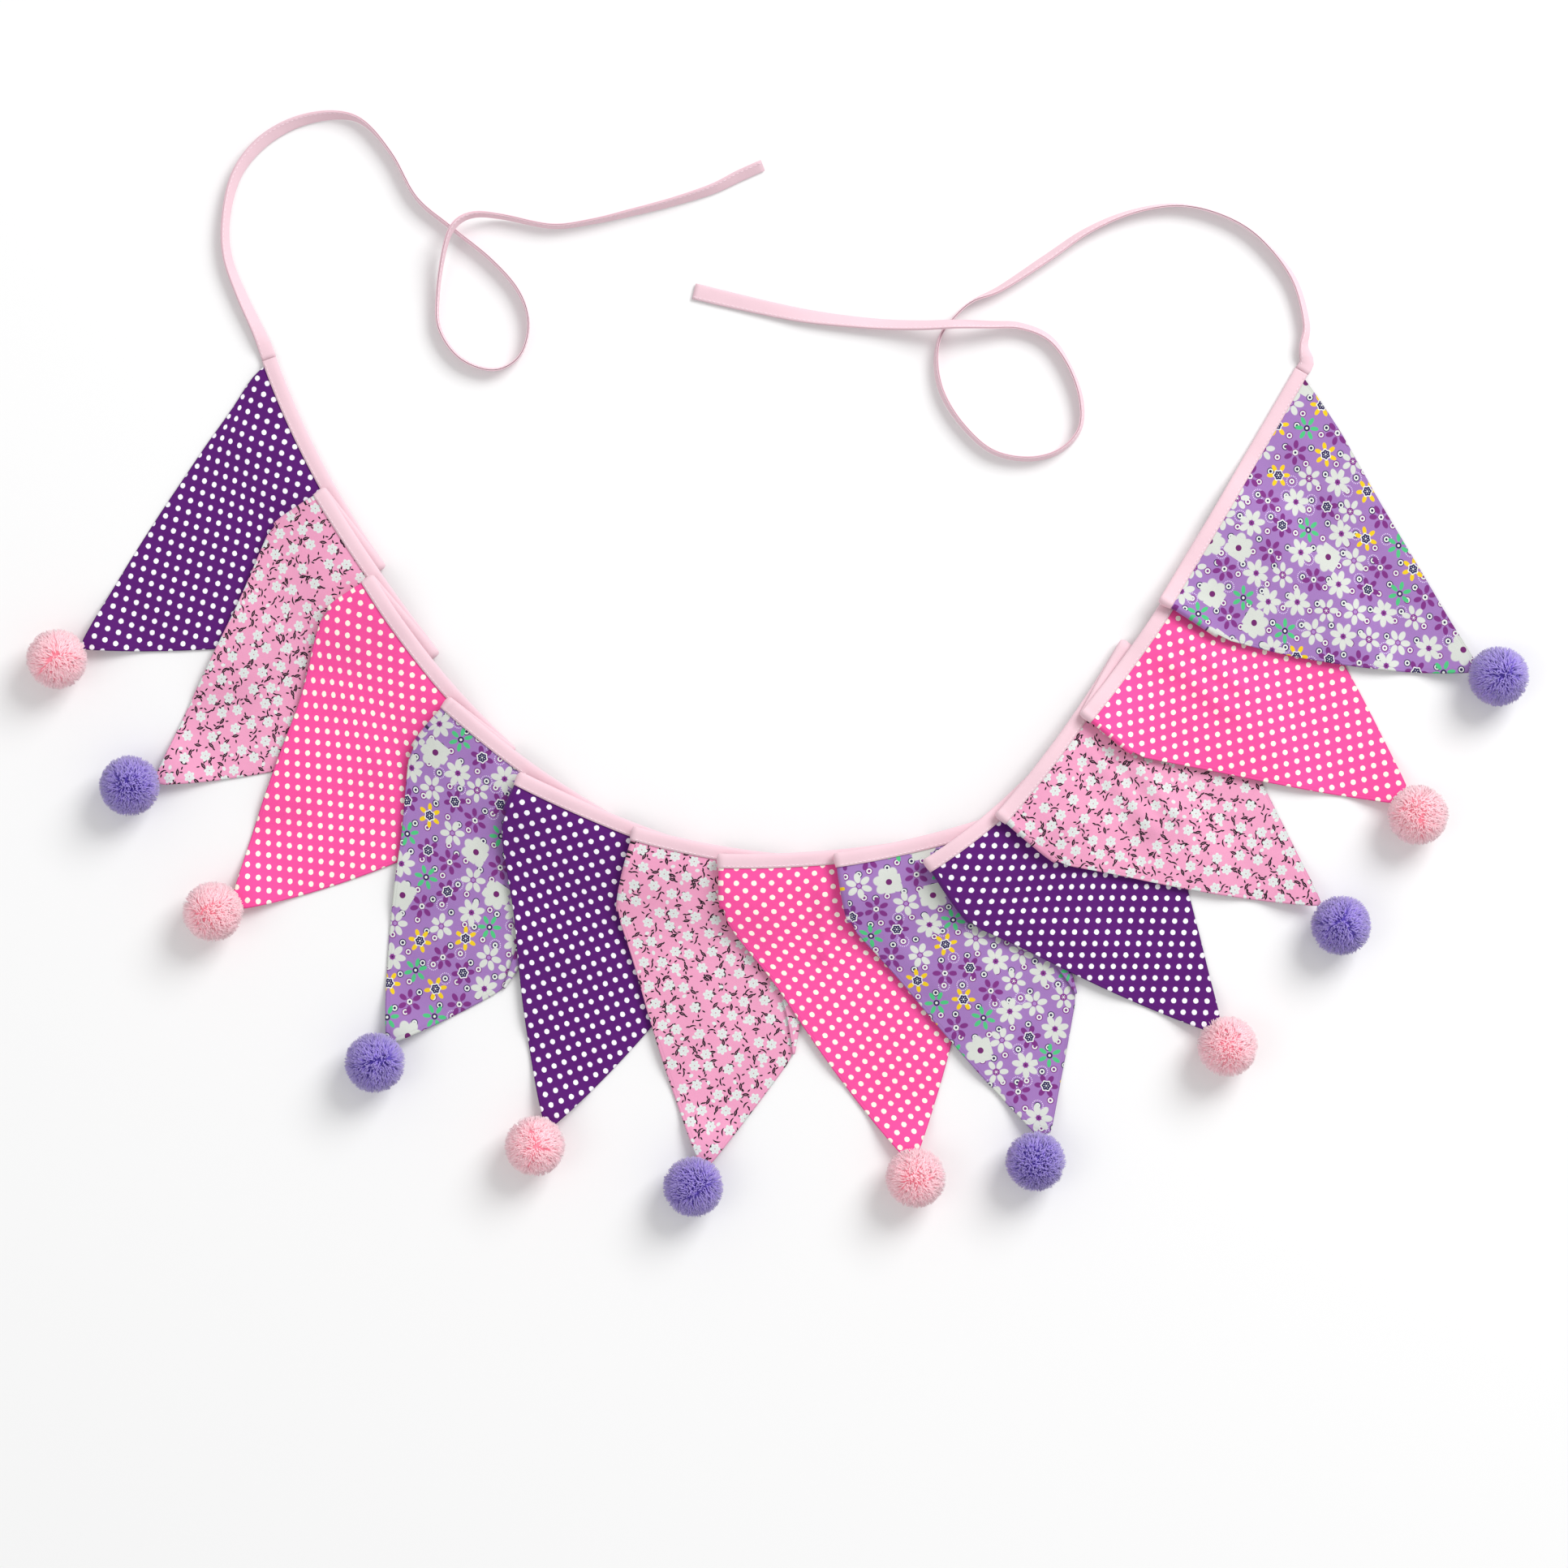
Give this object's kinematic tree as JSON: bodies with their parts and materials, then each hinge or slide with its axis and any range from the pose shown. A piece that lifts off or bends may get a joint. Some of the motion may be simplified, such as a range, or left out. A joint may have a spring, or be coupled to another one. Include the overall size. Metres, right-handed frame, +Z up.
{
  "type": "fabric bunting",
  "caption": "Fabric bunting lying flat in an arc: printed double cloth pennants on one folded tape that is pleated between them, a pompom on each tip and a tie at each end.",
  "frame": {"origin": "on the surface that it lies on, in the middle of the box round the pennants, tape and pompoms; the two ties are left out of that box", "axes": "+X from the first pennant to the last, along its longest side; +Y from the tips towards the open side of the arc, where the ties lie; +Z up, from the surface through the thickness"},
  "size_m": [0.9929, 0.734, 0.0399],
  "materials": {
    "purple_dot": "matt cotton, purple with white dots",
    "rose_sprig": "matt cotton, light pink with small white flowers and dark sprigs",
    "pink_dot": "matt cotton, bright pink with cream dots",
    "lilac_flower": "matt cotton, lilac with a flower print",
    "tape": "matt cotton tape, pale pink",
    "pink_yarn": "cut yarn, soft and matt",
    "purple_yarn": "cut yarn, soft and matt"
  },
  "bodies": {
    "root": {"pennant_01": "purple_dot", "pennant_02": "rose_sprig", "pennant_03": "pink_dot", "pennant_04": "lilac_flower", "pennant_05": "purple_dot", "pennant_06": "rose_sprig", "pennant_07": "pink_dot", "pennant_08": "lilac_flower", "pennant_09": "purple_dot", "pennant_10": "rose_sprig", "pennant_11": "pink_dot", "pennant_12": "lilac_flower", "pompom_01": "pink_yarn", "pompom_02": "purple_yarn", "pompom_03": "pink_yarn", "pompom_04": "purple_yarn", "pompom_05": "pink_yarn", "pompom_06": "purple_yarn", "pompom_07": "pink_yarn", "pompom_08": "purple_yarn", "pompom_09": "pink_yarn", "pompom_10": "purple_yarn", "pompom_11": "pink_yarn", "pompom_12": "purple_yarn", "binding": "tape", "tie_left": "tape", "tie_right": "tape"}
  },
  "joints": []
}
